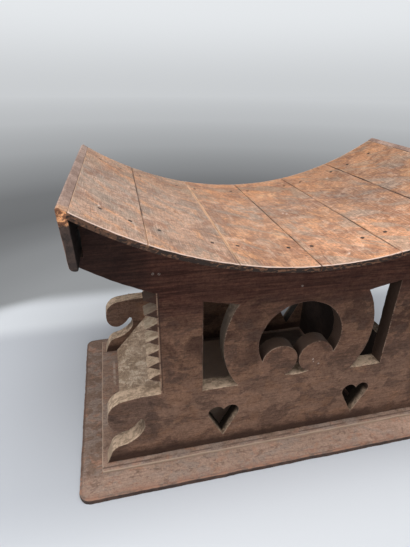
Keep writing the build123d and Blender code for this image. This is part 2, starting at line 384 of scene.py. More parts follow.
class Field:
    """An output of a node, which can be used in sums like a number."""

    def __init__(self, tree, socket=None):
        self.tree = tree
        self.socket = socket

    def node(self, kind, output=0, settings=None, **sockets):
        """Add a node: its settings first, then values or links; in3 means socket 3.

        The setting stops fills a colour ramp with pairs of a place and a colour.
        """
        made = self.tree.nodes.new("ShaderNode" + kind)
        settings = dict(settings or {})
        for number, (place, colour) in enumerate(settings.pop("stops", ())):
            stops = made.color_ramp.elements
            stop = stops[number] if number < 2 else stops.new(place)
            stop.position = place
            stop.color = (*colour, 1.0)
        for name, value in settings.items():
            setattr(made, name, value)
        for name, value in sockets.items():
            numbered = name[:2] == "in" and name[2:].isdigit()
            socket = made.inputs[int(name[2:]) if numbered else name.replace("_", " ")]
            if isinstance(value, Field):
                self.tree.links.new(value.socket, socket)
            elif socket.type == "RGBA":
                socket.default_value = (*value, 1.0)
            else:
                socket.default_value = value
        return Field(self.tree, made.outputs[output])

    def math(self, operation, first, second=0.0):
        """A Math node on two fields or numbers."""
        return self.node("Math", 0, {"operation": operation}, in0=first, in1=second)

    def __add__(self, other):
        return self.math("ADD", self, other)

    def __sub__(self, other):
        return self.math("SUBTRACT", self, other)

    def __rsub__(self, other):
        return self.math("SUBTRACT", other, self)

    def __mul__(self, other):
        return self.math("MULTIPLY", self, other)

    def __abs__(self):
        return self.math("ABSOLUTE", self)

    __radd__ = __add__
    __rmul__ = __mul__

    def between(self, start, end):
        """0 up to start, 1 from end on, and a smooth step between."""
        return self.node("MapRange", 0, {"interpolation_type": "SMOOTHSTEP"},
                         in0=self, in1=start, in2=end, in3=0.0, in4=1.0)

    def below(self, start, end):
        """1 up to start and 0 from end on."""
        return 1 - self.between(start, end)

    def near(self, place, start, end):
        """1 up to start away from a place, on either side of it, and 0 from end on."""
        return abs(self - place).below(start, end)

    def blend(self, first, second):
        """The first colour where this field is 0 and the second where it is 1."""
        return self.node("Mix", 2, {"data_type": "RGBA"}, in0=self, in6=first, in7=second)

    def tinted(self, colour, amount):
        """This colour multiplied by another, by an amount from 0 to 1."""
        settings = {"data_type": "RGBA", "blend_type": "MULTIPLY"}
        return self.node("Mix", 2, settings, in0=amount, in6=self, in7=colour)

    def noise(self, size, seed, detail=3.0, rough=0.5, warp=0.0):
        """Noise from 0 to 1 at these places, its blotches about size long on each axis."""
        scale = tuple(1 / length for length in size)
        shift = (seed * 1.37, seed * 2.71, seed * 0.93)
        scaled = self.node("VectorMath", 0, {"operation": "MULTIPLY_ADD"},
                           in0=self, in1=scale, in2=shift)
        return self.node("TexNoise", 0, {"noise_dimensions": "3D"}, Vector=scaled, Scale=1.0,
                         Detail=detail, Roughness=rough, Distortion=warp)


# %% [markdown]
# ## Wood
# All boards are of one brown, open-grained wood; age made them different. What they share
# is here: streaks of light and dark year growth, fine fibres, soft clouds and small flecks
# of colour. Every board carries a tone, which also shifts its pattern, so that no two
# boards continue each other's grain. Noise stays close to its middle value, so a mask is
# cut out of it between two near limits, or it would hardly show. A finish is then laid
# like paint: each step covers or tints what lies there already, where its mask says so.

# %% What every wood material starts from


class Wood:
    """The shared fields of one wood material, the colour laid so far, and its shader."""

    def __init__(self, name, along):
        self.material = bpy.data.materials.new(name)
        self.material.use_nodes = True
        self.tree = self.material.node_tree
        self.shader = self.tree.nodes["Principled BSDF"]
        self.colour = None
        start = Field(self.tree)
        object_places = start.node("TexCoord", "Object")
        self.edge, self.stain, self.tone = (
            start.node("Attribute", "Fac", {"attribute_name": name})
            for name in ("edge", "stain", "tone"))
        offset = start.node("VectorMath", 0, {"operation": "SCALE"}, in0=(1.9, 3.1, 2.3),
                            Scale=self.tone)
        self.places = start.node("VectorMath", 0, {"operation": "ADD"},
                                 in0=object_places, in1=offset)
        self.x, self.y, self.z = self.split(object_places)
        sideways, lengthways, self.upward = self.split(start.node("TexCoord", "Normal"))
        self.frontways = abs(lengthways)
        self.outward = sideways * (self.x.between(-1 * mm, 1 * mm) * 2 - 1)

        def stretched(length, across):
            return tuple(length if axis == along else across for axis in range(3))

        self.streaks = self.places.noise(stretched(70 * mm, 2.6 * mm), 1, 4.0, 0.65, 0.4)
        self.fibres = self.places.noise(stretched(14 * mm, 0.7 * mm), 2, 3.0, 0.65)
        self.clouds = self.places.noise((38 * mm,) * 3, 3, 4.0, 0.6, 0.5)
        self.mottle = self.places.noise(stretched(12 * mm, 6 * mm), 4, 4.0, 0.65, 0.4)
        self.grit = self.places.noise((3.6 * mm, 3.0 * mm, 3.0 * mm), 6, 3.0, 0.65, 0.3)
        self.flecks = self.places.noise((1.6 * mm,) * 3, 5, 2.0, 0.6)

    def split(self, vector):
        """The three components of a vector field."""
        parts = vector.node("SeparateXYZ", 0, None, Vector=vector).socket.node
        return [Field(self.tree, parts.outputs[axis]) for axis in range(3)]

    def turned(self, *degrees):
        """The places turned about X, Y and Z, for patterns that run askew."""
        return self.places.node("Mapping", 0, None, Vector=self.places,
                                Rotation=tuple(math.radians(angle) for angle in degrees))

    def lay(self, mask, colour):
        """Cover what lies there with a colour where the mask is 1."""
        self.colour = mask.blend(self.colour, colour)

    def tint(self, mask, colour):
        """Multiply what lies there by a colour where the mask is 1."""
        self.colour = self.colour.tinted(colour, mask)

    def blotches(self, size, seed, start, end):
        """Patches of a size along X, Y and Z in millimetres, cut out of noise."""
        size = tuple(length * mm for length in size)
        return self.places.noise(size, seed, 4.0, 0.6, 0.6).between(start, end)

    def lay_blotches(self, *kinds):
        """Lay kinds of patches: size, seed, the two limits, amount and colour of each."""
        for size, seed, start, end, amount, colour in kinds:
            self.lay(self.blotches(size, seed, start, end) * amount, colour)

    def arris(self, start, end):
        """1 on the middle of an eased edge and 0 beyond a distance from it."""
        return self.edge.below(start, end)

    def scratch(self, front, back, width=0.6 * mm):
        """A line on the seat between two places (x, y): 1 in the middle of its width."""
        slope = (back[0] - front[0]) / (back[1] - front[1])
        across = abs(self.x - (self.y * slope + (front[0] - front[1] * slope)))
        ends = self.y.between(front[1] - 2 * mm, front[1]) * self.y.below(back[1], back[1] + 4 * mm)
        return across.below(0.4 * width, width) * ends

    def spots(self, level, places, size):
        """Small round marks at places along X and along another field, in millimetres."""
        marks = [(self.far(self.x, x, size) + self.far(level, y, size)).below(0.3, 1.0)
                 for x, y in places]
        return sum(marks[1:], marks[0])

    def far(self, field, place, size):
        """Squared distance of a field from a place, over the squared size."""
        steps = (field - place * mm) * (1 / (size * mm))
        return steps * steps

    def lay_grain(self, fibre, fleck):
        """Dark fibres and pores and pale flecks, by amounts from 0 to 1."""
        self.tint((0.5 - self.fibres).between(0.0, 0.12) * fibre, (0.55, 0.48, 0.44))
        self.tint((0.5 - self.grit).between(0.02, 0.12) * fleck, (0.6, 0.54, 0.5))
        self.tint(self.grit.between(0.52, 0.62) * fleck, (1.35, 1.33, 1.3))
        self.tint((0.5 - self.flecks).between(0.05, 0.16) * fleck, (0.5, 0.44, 0.4))
        self.tint(self.flecks.between(0.57, 0.7) * fleck, (1.6, 1.55, 1.5))

    def roughness(self, middle, spread):
        """Roughness that follows the mottle, spread about a middle value."""
        return middle + (self.mottle - 0.5) * spread

    def relief(self, **depths):
        """Height in metres: a sum of the wood's patterns, each with a depth in millimetres."""
        parts = [getattr(self, pattern) * (depth * mm) for pattern, depth in depths.items()]
        return sum(parts[1:], parts[0])

    def finish(self, roughness, height, shine):
        """Link colour, roughness and height into the shader; shine is a constant."""
        bump = height.node("Bump", 0, None, Strength=1.0, Distance=1.0, Height=height)
        varying = {"Base Color": self.colour, "Roughness": roughness, "Normal": bump}
        for name, field in varying.items():
            self.tree.links.new(field.socket, self.shader.inputs[name])
        self.shader.inputs["Specular IOR Level"].default_value = shine
        return self.material


# %% [markdown]
# ## Seat wood
# Years of sitting polished the slats to tans, greys and orange, laid over each other in
# patches that run with the smears of a wiping hand, across the grain. An image of such a
# seat would repeat; layers of noise cut into masks never do. Single marks, such as knots
# and scratches, are laid at their own places, which are listed further down.

# %% The polished tops of the slats


def seat_wood():
    """Slats polished by use: pinkish grey at the left, warmer beyond the first joints."""
    wood = Wood("seat_wood", 1)
    warm = wood.tone.between(0.16, 0.3)
    light = warm.blend((0.54, 0.345, 0.245), (0.61, 0.325, 0.185))
    deep = warm.blend((0.33, 0.205, 0.145), (0.37, 0.185, 0.105))
    wood.colour = wood.clouds.between(0.4, 0.58).blend(deep, light)
    smears = wood.turned(0, 0, 48).noise((52 * mm, 20 * mm, 30 * mm), 7, 5.0, 0.58, 1.0)
    wood.lay(smears.between(0.5, 0.6) * 0.65, (0.36, 0.285, 0.225))
    wood.lay((1 - smears).between(0.55, 0.64) * 0.65, (0.72, 0.375, 0.185))
    wood.lay_blotches(((24, 20, 16), 9, 0.54, 0.64, 0.65, (0.33, 0.155, 0.09)),
                      ((16, 12, 12), 8, 0.55, 0.66, 0.5, (0.74, 0.50, 0.36)))
    rubbing = wood.places.noise((0.9 * mm, 26 * mm, 5 * mm), 10, 2.0, 0.5, 0.3)
    wood.lay(rubbing.between(0.57, 0.68) * 0.4, (0.74, 0.56, 0.44))
    wood.lay_grain(0.6, 0.5)
    wood.tint(wood.y.between(20 * mm, 90 * mm) * 0.9, (0.98, 0.86, 0.72))
    right_end = wood.x.between(70 * mm, 100 * mm) * wood.y.between(-60 * mm, 20 * mm)
    wood.tint(right_end, (0.82, 0.84, 0.86))
    front = wood.y.below(-110 * mm, 0.0)
    wood.tint(front * (0.35 + wood.x.between(-60 * mm, 20 * mm) * 0.65), (1.28, 1.22, 1.18))
    sawn = wood.frontways.between(0.55, 0.8)
    lay_seat_marks(wood)
    lay_slat_ends(wood, sawn)
    # Painted shade: faces that look down, under the seat, are laid dark brown.
    wood.lay((0 - wood.upward).between(0.1, 0.5), (0.075, 0.045, 0.034))
    wood.lay(wood.stain.between(0.0, 1.0), (0.06, 0.030, 0.020))
    wood.lay((0 - wood.stain).between(0.0, 0.8), (0.82, 0.50, 0.30))
    height = wood.relief(fibres=0.06, streaks=0.1, mottle=0.2, flecks=0.05)
    return wood.finish(wood.roughness(0.5, 0.5) + sawn * 0.2, height, 0.3)


def lay_seat_marks(wood):
    """Dents with pale dust, dark knots, bare places and dark scratches."""
    dents = wood.spots(wood.y, seat_dents, 1.6) * wood.flecks.between(0.4, 0.5)
    wood.lay(dents * 0.8, (0.86, 0.78, 0.72))
    wood.lay(wood.spots(wood.y, seat_knots, 3.2) * 0.75, (0.16, 0.08, 0.055))
    bare = wood.spots(wood.y, seat_bare, 9) * wood.mottle.between(0.4, 0.6)
    wood.lay(bare * 0.6, (0.88, 0.52, 0.29))
    for front, back in seat_scratches:
        wood.lay(wood.scratch(front, back) * 0.75, (0.13, 0.065, 0.045))


# %% [markdown]
# The front and back ends of the slats were only sawn. They stayed dark, chipped to fresh
# orange in places, and between top and end runs one thin bright line: wood rubbed by
# clothes, with a painted highlight of the rounded edge.

# %% The sawn ends of the slats


def lay_slat_ends(wood, sawn):
    """A dark, chipped band on the sawn ends, and above it a thin line of rubbed wood and painted
    highlight.
    """
    chips = wood.blotches((5, 3, 1.8), 11, 0.5, 0.6)
    band = (chips * 0.75).blend((0.028, 0.017, 0.013), (0.24, 0.115, 0.065))
    fresh = wood.x.below(-180 * mm, -140 * mm) * wood.mottle.between(0.44, 0.56)
    wood.lay(sawn, (fresh * 0.4).blend(band, (0.27, 0.135, 0.08)))
    from_middle = abs(wood.y - seat_middle_y)
    ends = from_middle.between(seat_half_depth - 2.6 * mm, seat_half_depth - 1.6 * mm)
    # The bright line is partly rubbed wood and partly a painted highlight on the rounded edge.
    line = ends * wood.arris(0.5 * mm, 1.0 * mm) * wood.upward.between(0.2, 0.5)
    wood.lay(line * (0.5 + wood.mottle * 0.7), (0.88, 0.66, 0.55))


# %% [markdown]
# ## Cap wood
# The boards at the seat's ends are darker than the slats: brown outside, and painted black
# on the side that is turned under the seat, for the shade there. Their tops are rubbed
# grey-brown, and their front upper corners are worn down to orange wood.

# %% Cap wood


def cap_wood():
    """End caps: dark faces with a rubbed top and an orange, worn corner."""
    wood = Wood("cap_wood", 1)
    rim = wood.mottle.between(0.42, 0.58)
    wood.colour = rim.blend((0.036, 0.023, 0.019), (0.072, 0.045, 0.036))
    outer = wood.clouds.between(0.42, 0.58).blend((0.17, 0.09, 0.06), (0.26, 0.15, 0.105))
    wood.lay(wood.outward.between(0.4, 0.7), outer)
    # Painted shade: the face turned under the seat is laid near black.
    shaded_inside_face = (0 - wood.outward).between(0.4, 0.7)
    wood.lay(shaded_inside_face, (0.012, 0.008, 0.007))
    wavy_z = wood.z + (wood.mottle - 0.5) * (10 * mm)
    worn = wavy_z.between(cap_top - 10 * mm, cap_top - 7 * mm)
    chips = wood.blotches((4, 3, 3), 12, 0.45, 0.56).blend((0.24, 0.10, 0.05), (0.98, 0.47, 0.22))
    wood.lay(worn * (0.35 + wood.frontways * 0.65) * (1 - shaded_inside_face), chips)
    top = wood.upward.between(0.45, 0.75)
    rubbed = wood.clouds.between(0.42, 0.58).blend((0.29, 0.185, 0.145), (0.44, 0.30, 0.24))
    wood.lay(top, rubbed)
    edge = top * wood.arris(0.6 * mm, 1.5 * mm) * wood.mottle.between(0.4, 0.52)
    wavy_y = wood.y + wood.mottle * (12 * mm)
    corner = top * wavy_y.below(seat_low.y + 10 * mm, seat_low.y + 20 * mm)
    wood.lay((edge * 0.7 + corner * 0.8).between(0.0, 1.0), (0.62, 0.36, 0.22))
    wood.lay_grain(0.5, 0.4)
    return wood.finish(wood.roughness(0.58, 0.4), wood.relief(fibres=0.05, mottle=0.25), 0.35)


# %% [markdown]
# ## Panel wood
# The carved sides were stained dark. Under the seat they are near black: dark stain with
# painted shade of the seat; lower down they are paler brown, with paler dust. The walls of
# what was cut through are darker than the faces, apart from the open ends, which are pale
# below the seat's painted shade.

# %% Stain on the panels


def panel_wood():
    """Carved sides: near black under the seat (dark stain and painted shade), brown below, dusty on
    every ledge.
    """
    wood = Wood("panel_wood", 0)
    face = wood.frontways.between(0.5, 0.8)
    # high: the painted shade of the seat over the upper panel, laid near black and kept off dust
    # and rubbed edges.
    high = (wood.z + (wood.clouds - 0.5) * (40 * mm)).between(*seat_shade_heights)
    open_end = abs(wood.x).between(body_half_width - 2 * mm, body_half_width - 1 * mm)
    lay_panel_stain(wood, face, high)
    lay_panel_walls(wood, 1 - face, high, open_end)
    lay_panel_lines(wood, face, high)
    lay_panel_dust(wood, face, high, open_end)
    wood.lay(wood.stain, (0.05, 0.03, 0.022))
    height = wood.relief(fibres=0.08, streaks=0.2, mottle=0.45, grit=0.3)
    return wood.finish(wood.roughness(0.62, 0.4), height, 0.13)


def lay_panel_stain(wood, face, high):
    """Brown on the faces, paler near the foot, and streaked near black under the seat: dark stain
    with painted shade.
    """
    wood.colour = wood.clouds.between(0.4, 0.6).blend((0.085, 0.044, 0.030), (0.20, 0.110, 0.074))
    wood.lay(wood.z.below(*paler_below) * (0.2 + wood.mottle), (0.30, 0.185, 0.132))
    wood.lay_blotches(((30, 20, 22), 13, 0.5, 0.58, 0.6, (0.095, 0.058, 0.045)),
                      ((24, 12, 14), 14, 0.53, 0.62, 0.55, (0.27, 0.150, 0.095)))
    # Near black under the seat: partly stain and partly painted shade of the seat.
    black = wood.streaks.between(0.4, 0.6).blend((0.046, 0.014, 0.010), (0.090, 0.035, 0.024))
    wood.lay(high * 0.85, black)
    # Painted shade of the end caps: darker still towards the ends under the seat.
    wood.lay(abs(wood.x).between(*cap_shade_x) * high * 0.55, (0.028, 0.013, 0.010))
    streaky = 0.25 + high * 0.1
    wood.tint((0.5 - wood.streaks).between(0.0, 0.12) * streaky, (0.55, 0.5, 0.47))
    wood.tint(wood.streaks.between(0.54, 0.66) * streaky, (1.7, 1.55, 1.4))
    wood.lay_grain(0.5, 0.45)
    scroll = abs(wood.x).between(body_half_width - 1 * mm, body_half_width + 12 * mm)
    wood.tint(scroll * wood.z.between(24 * mm, 36 * mm) * face, (0.66, 0.68, 0.72))


def lay_panel_walls(wood, wall, high, open_end):
    """Dark sawn walls, a little paler in the curved windows and pale at the open ends, but dark
    under the seat as painted shade.
    """
    wood.lay(wall, (0.075, 0.047, 0.035))
    window = abs(wood.x).between(*ring_side) * abs(wood.x).below(*window_side)
    wood.lay(wall * window, (0.115, 0.083, 0.062))
    # The open ends stay dark under the seat: painted shade.
    wood.lay(wall * open_end * (1 - high), (0.34, 0.255, 0.185))


# %% [markdown]
# A black line of dirt lies along the foot of each panel. Beside the teeth runs a scribed
# line, rubbed pale and painted with the highlight of its edge, and next to it the painted
# shade of a groove. Carved edges have lost their stain.

# %% Lines and edges on the panels


def lay_panel_lines(wood, face, high):
    """The dirty foot, painted shade at the teeth, the scribed line with a painted highlight,
    the painted shade of a groove, and rubbed edges.
    """
    foot = (wood.z + wood.mottle * (14 * mm)).below(22 * mm, 37 * mm) * face
    wood.lay(foot * (0.9 - wood.x.between(60 * mm, 140 * mm) * 0.3), (0.04, 0.022, 0.017))
    at_teeth = wood.z.between(teeth_low, teeth_low + 1 * mm) * face
    at_teeth = at_teeth * wood.z.below(teeth_high, teeth_high + 1 * mm)
    shade = at_teeth * abs(wood.x).between(body_half_width, body_half_width + 1 * mm)
    wood.lay(shade * 0.7, (0.06, 0.035, 0.026))
    # The scribed line: rubbed wood with a painted highlight of its edge.
    scribed = at_teeth * abs(wood.x).near(body_half_width - 0.9 * mm, 0.3 * mm, 0.8 * mm)
    wood.lay(scribed * wood.mottle.between(0.38, 0.5) * 0.6, (0.44, 0.30, 0.21))
    # The groove is only painted: a line of painted shade.
    groove = at_teeth * abs(wood.x).near(body_half_width - 2.4 * mm, 0.3 * mm, 0.9 * mm)
    wood.lay(groove * 0.6, (0.04, 0.024, 0.019))
    patchy = (wood.mottle * 0.5 + wood.flecks * 0.5).between(0.46, 0.56)
    rubbed = wood.arris(0.25 * mm, 0.8 * mm) * patchy
    # Rubbed edges are left out under the seat, where painted shade lies.
    wood.lay(rubbed * (1 - high * 0.9) * 0.6, (0.42, 0.29, 0.22))


# %% [markdown]
# Every face that looks up is covered with dust, apart from the bottom of the ring, where the
# dust is left off for painted shade, as it is under the seat and on the top tooth; higher up
# the teeth the dust is painted greyer, as shade. A few chips show pale wood, and the walls
# inside the hearts are painted near black, as shade.

# %% Dust and chips on the panels


def lay_panel_dust(wood, face, high, open_end):
    """Dust on what looks up, left off or greyed as painted shade, then chips and hearts painted
    near black as shade.
    """
    # Painted shade: the dust is left off the bottom of the ring.
    ring_shade = abs(wood.x).below(*in_ring_side) * wood.z.between(*ring_floor)
    # Painted shade: less dust on the top tooth, under the cap.
    shaded_top_tooth = open_end * wood.z.between(teeth_high - 9 * mm, teeth_high - 5 * mm)
    dust = wood.upward.between(0.2, 0.65) * (0.35 + wood.grit * 1.1)
    dust = dust * (1 - ring_shade * 0.9) * (1 - high * 0.85) * (1 - shaded_top_tooth * 0.8)
    settled = (wood.mottle * 0.6 + wood.grit * 0.4).between(0.42, 0.56)
    # Painted shade: the dust on the teeth turns greyer upwards.
    shaded_higher = wood.z.between(110 * mm, 220 * mm) * open_end
    pale = shaded_higher.blend((0.62, 0.46, 0.33), (0.42, 0.36, 0.27))
    wood.lay(dust.between(0.0, 1.0), settled.blend((0.33, 0.235, 0.165), pale))
    chips = wood.spots(wood.z, panel_chips, 1.3) * 0.8 + wood.spots(wood.z, apron_chips, 1.5) * 0.35
    wood.lay(chips * face * wood.flecks.between(0.42, 0.5), (0.62, 0.52, 0.46))
    inside_board = wood.y.near(seat_middle_y, *panel_faces)
    # Painted shade: the walls inside the hearts are laid near black.
    hearts = (1 - face) * inside_board * (1 - open_end) * wood.z.below(*hearts_top)
    wood.lay(hearts * 0.95, (0.012, 0.008, 0.006))


# %% [markdown]
# ## Base wood
# Base and plinth catch everything that falls: their tops are greyed with dust, lighter and
# pinker in front and darker at the sides, and the floor between the panels carries painted
# light and shade. The two boards share one material, and their tone tells the plinth from
# the base.

# %% The tops of base and plinth


def base_wood():
    """Base and plinth: dusty on top, dark on the rim, rubbed along the upper edge."""
    wood = Wood("base_wood", 0)
    plinth = wood.tone.between(0.24, 0.26)
    before = wood.y.below(plinth_front - 6 * mm, plinth_front + 8 * mm)
    lay_base_top(wood, plinth, before)
    lay_base_rim(wood, plinth, 1 - plinth, before)
    wood.lay(wood.stain, (0.05, 0.03, 0.022))
    height = wood.relief(fibres=0.08, streaks=0.22, mottle=0.35, flecks=0.1)
    return wood.finish(wood.roughness(0.66, 0.4), height, 0.3)


def lay_base_top(wood, plinth, before):
    """Greyed dust, lighter wood in front, one long scratch and painted light and shade on the floor
    under the seat.
    """
    wood.colour = wood.clouds.between(0.4, 0.6).blend((0.26, 0.175, 0.13), (0.38, 0.265, 0.205))
    wood.lay(before * (0.2 + wood.mottle), (0.45, 0.31, 0.24))
    beside = abs(wood.x).between(plinth_side - 34 * mm, plinth_side - 18 * mm) * (1 - before)
    aside = plinth.blend((0.20, 0.128, 0.095), (0.34, 0.225, 0.17))
    wood.lay(beside * (0.4 + wood.mottle * 0.8), aside)
    wood.lay_blotches(((26, 18, 16), 15, 0.49, 0.58, 0.65, (0.33, 0.26, 0.22)),
                      ((14, 12, 10), 16, 0.54, 0.64, 0.5, (0.44, 0.235, 0.155)),
                      ((12, 9, 10), 18, 0.55, 0.66, 0.55, (0.17, 0.105, 0.08)))
    wood.tint((0.5 - wood.streaks).between(0.0, 0.12) * 0.3, (0.62, 0.57, 0.54))
    wood.lay_grain(0.4, 0.38)
    wood.tint(plinth * before, (1.12, 1.14, 1.16))
    wood.tint(before * wood.x.between(40 * mm, 130 * mm), (1.24, 1.22, 1.22))
    scratch = wood.x.near(base_scratch_x, 0.8 * mm, 2.4 * mm) * wood.mottle.between(0.4, 0.5)
    scratch = scratch * wood.y.between(14 * mm, 24 * mm) * wood.y.below(60 * mm, 72 * mm)
    wood.lay(scratch * 0.7, (0.55, 0.44, 0.36))
    # Painted light and shade on the floor between the panels: pale where light comes in at the
    # left, near black further right.
    within = abs(wood.x).below(*hollow_length) * wood.y.near(seat_middle_y, *hollow_depth)
    floor_light_and_shade = wood.x.between(-40 * mm, 0.0).blend((0.86, 0.68, 0.54), (0.06, 0.042, 0.034))
    wood.lay(within * (0.7 + wood.mottle * 0.4), floor_light_and_shade)


# %% [markdown]
# The base's rim is dark with floor polish, and its upper edge is worn through to
# red-brown wood. The plinth's thin edge shows up pale, with a scribed groove behind it.

# %% The rims of base and plinth


def lay_base_rim(wood, plinth, base, before):
    """Rim, shade, ruddy band and worn edge of the base; lit edge and groove of the plinth."""
    dark = wood.mottle.between(0.42, 0.6).blend((0.045, 0.026, 0.02), (0.1, 0.055, 0.04))
    wood.lay(wood.upward.below(0.15, 0.5), plinth.blend(dark, (0.40, 0.30, 0.225)))
    shade = wood.arris(1.5 * mm, 3.2 * mm) * base * (1 - before * 0.25)
    wood.lay(shade * wood.upward.between(0.1, 0.4) * 0.7, (0.085, 0.048, 0.035))
    ruddy = wood.arris(3 * mm, 10 * mm) * base * before * wood.upward.between(0.4, 0.7)
    wood.lay(ruddy * wood.mottle.between(0.38, 0.56) * 0.5, (0.34, 0.175, 0.12))
    worn = wood.arris(1.0 * mm, 2.6 * mm) * base * wood.upward.between(0.3, 0.6)
    worn = worn * wood.mottle.between(0.44, 0.56)
    wood.lay(worn * (0.1 + before * 0.35), (0.47, 0.245, 0.155))
    lit = wood.arris(0.5 * mm, 1.1 * mm) * plinth * (0.5 + wood.mottle * 0.6)
    wood.lay(lit, (0.47, 0.35, 0.265))
    groove = wood.y.near(plinth_front + 5 * mm, 0.5 * mm, 1.2 * mm) * wood.upward.between(0.5, 0.8)
    groove = groove * plinth * wood.clouds.between(0.36, 0.5)
    wood.lay(groove * 0.7, (0.09, 0.055, 0.042))


# %% [markdown]
# ## Inner wood
# The boards between the panels were never stained. Where they slope they are tan with dust
# and crossed by the strokes of a coarse blade, which run askew: a pattern turned by a
# Mapping node. Where they stand upright they are painted near black, as the shade between
# the panels.

# %% Inner wood


def inner_wood():
    """Boards between the panels: painted near black as shade where upright, dusty tan where they
    slope.
    """
    wood = Wood("inner_wood", 1)
    # Painted shade: upright faces between the panels are laid near black.
    wood.colour = wood.clouds.between(0.4, 0.6).blend((0.014, 0.009, 0.007), (0.035, 0.022, 0.018))
    tan = wood.clouds.between(0.42, 0.58).blend((0.34, 0.245, 0.17), (0.44, 0.325, 0.235))
    strokes = wood.turned(38, 0, 0).noise((16 * mm, 26 * mm, 5.0 * mm), 17, 4.0, 0.6, 0.8)
    tan = (strokes.between(0.52, 0.6) * 0.85).blend(tan, (0.62, 0.50, 0.38))
    tan = ((0.5 - strokes).between(0.02, 0.12) * 0.6).blend(tan, (0.21, 0.14, 0.095))
    wood.lay(wood.upward.between(0.15, 0.5) * (0.7 + wood.mottle * 0.6), tan)
    wood.lay_grain(0.5, 0.5)
    height = wood.relief(fibres=0.06, mottle=0.3) + strokes * (0.3 * mm)
    return wood.finish(wood.roughness(0.7, 0.3), height, 0.25)


# %% [markdown]
# ## Old iron
# The nail heads are hand-forged and rusted black-brown, with a little bare metal left.

# %% Old iron


def nail_iron():
    """Nail heads: black-brown rust, rough, with a little bare iron showing."""
    iron = Wood("nail_iron", 2)
    iron.colour = iron.flecks.between(0.4, 0.65).blend((0.02, 0.014, 0.012), (0.085, 0.04, 0.025))
    metallic = (1 - iron.flecks).between(0.5, 0.7) * 0.5
    iron.tree.links.new(metallic.socket, iron.shader.inputs["Metallic"])
    return iron.finish(0.55 + iron.flecks * 0.3, iron.relief(flecks=0.12), 0.5)


# %% [markdown]
# ## Where the finishes change
# Some masks follow the stool's own lines: its teeth, its plinth, the ends of its slats.
# These are read from the solids, so that a finish stays where it belongs.

# %% Lines of the stool that the finishes follow
plinth_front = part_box("plinth_board")[0].y
plinth_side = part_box("plinth_board")[1].x
seat_low, seat_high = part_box("seat_slat_1")
seat_middle_y = (seat_low.y + seat_high.y) / 2
seat_half_depth = (seat_high.y - seat_low.y) / 2
cap_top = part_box("right_end_cap")[1].z
panel_rim = outer(panel_outline)
panel_middle_z = (panel_rim[:, 1].min() + panel_rim[:, 1].max()) / 2
beside_middle = np.abs(panel_rim[:, 1] - panel_middle_z) < 30 * mm
body_half_width = np.abs(panel_rim[beside_middle, 0]).min()
between_teeth = panel_rim[np.abs(np.abs(panel_rim[:, 0]) - body_half_width) < 0.4 * mm]
teeth_low, teeth_high = between_teeth[:, 1].min(), between_teeth[:, 1].max()
print("teeth from %.1f to %.1f mm high, %.1f mm from the middle"
      % (teeth_low / mm, teeth_high / mm, body_half_width / mm))

# %% [markdown]
# Other lines need only to lie roughly right. Each is a pair of places between which its
# mask fades, so the width of the fade is part of the line.

# %% Places where masks fade
# The first pair: heights over which the painted shade of the seat fades out on the panels.
seat_shade_heights, paler_below = (164 * mm, 210 * mm), (60 * mm, 150 * mm)      # heights on the panels
ring_floor, hearts_top = (96 * mm, 100 * mm), (84 * mm, 90 * mm)
in_ring_side, ring_side = (54 * mm, 58 * mm), (58 * mm, 62 * mm)    # from the middle, along X
# The last pair: places along X where the painted shade of the caps deepens under the seat.
window_side, cap_shade_x = (92 * mm, 96 * mm), (140 * mm, 195 * mm)
panel_faces, hollow_depth = (98 * mm, 105 * mm), (80 * mm, 86 * mm)   # and along Y
hollow_length = (body_half_width - 50 * mm, body_half_width - 43 * mm)
base_scratch_x = -199.5 * mm
print("floor between the panels: %.0f x %.0f mm"
      % (2 * hollow_length[1] / mm, 2 * hollow_depth[1] / mm))

# %% [markdown]
# Single marks are listed by place in millimetres: along X, and along Y on the seat or
# along Z on the panels. A scratch runs from one place to another.

# %% Places of single marks, and all finishes
seat_dents = ((-189.5, -84.6), (14.4, 5.1), (17.2, 1.6), (28.4, -115), (112.8, 88.1))
seat_knots = ((89, 22), (101, 24))
seat_bare = ((14, 76), (27, 77), (-20, -60))
panel_chips = ((17.9, 113.9), (25.6, 106.2), (18.6, 110.4))
apron_chips = ((-150.6, 236.1), (-145.2, 235.4), (-7.2, 208))
seat_scratches = np.array((((-84.7, -132.6), (-81.9, -68.7)), ((-63.2, -133.4), (-69.9, -107.0)),
                           ((1.8, -131.0), (3.6, -114.0)), ((-82.6, -132.0), (-79.6, -92.0)))) * mm

finishes = {"seat_wood": seat_wood(), "cap_wood": cap_wood(), "panel_wood": panel_wood(),
            "base_wood": base_wood(), "inner_wood": inner_wood(), "nail_iron": nail_iron()}
print("finishes:", {name: len(made.node_tree.nodes) for name, made in finishes.items()})

# %% [markdown]
# ## Base and plinth
# Two flat boards lie on each other. Their outlines lie flat too, so a level is simply a
# height. Upper edges are rubbed round by feet and by brooms; lower edges stay sharp.

# %% Lay the base and the plinth


def flat_place(points):
    """Plane coordinates are X and Y, and the level is Z."""
    return points


def base_shape(points, seed, low, depth=0.3 * mm, underside=3 * mm):
    """Sink a board in slow waves, by up to a depth, but by nothing at its underside."""
    share = np.clip((points[:, 2] - low) / underside, 0, 1)
    moved = points.copy()
    moved[:, 2] -= depth * share * wave_share(points[:, :2], 80 * mm, seed)
    return moved, np.zeros(len(points))


for number, node in enumerate(("base_board", "plinth_board")):
    lowest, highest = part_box(node)
    rub = (1.6 * mm, 0.9 * mm)[number]
    outline = hand_cut(refined(outer(outlines_of(node, 2)), 2.5 * mm), 0.8 * mm, 11)
    make_board(node + "_worn", node, [outline], lowest.z, highest.z, flat_place,
               worn_arris(0.2 * mm, 0.6 * mm, 12), worn_arris(0.5 * rub, rub, 13), "base_wood",
               tone=0.2 + 0.1 * number, grid=8 * mm, wall_gap=1.2 * mm,
               shape=lambda points, low=lowest.z: base_shape(points, 14, low))

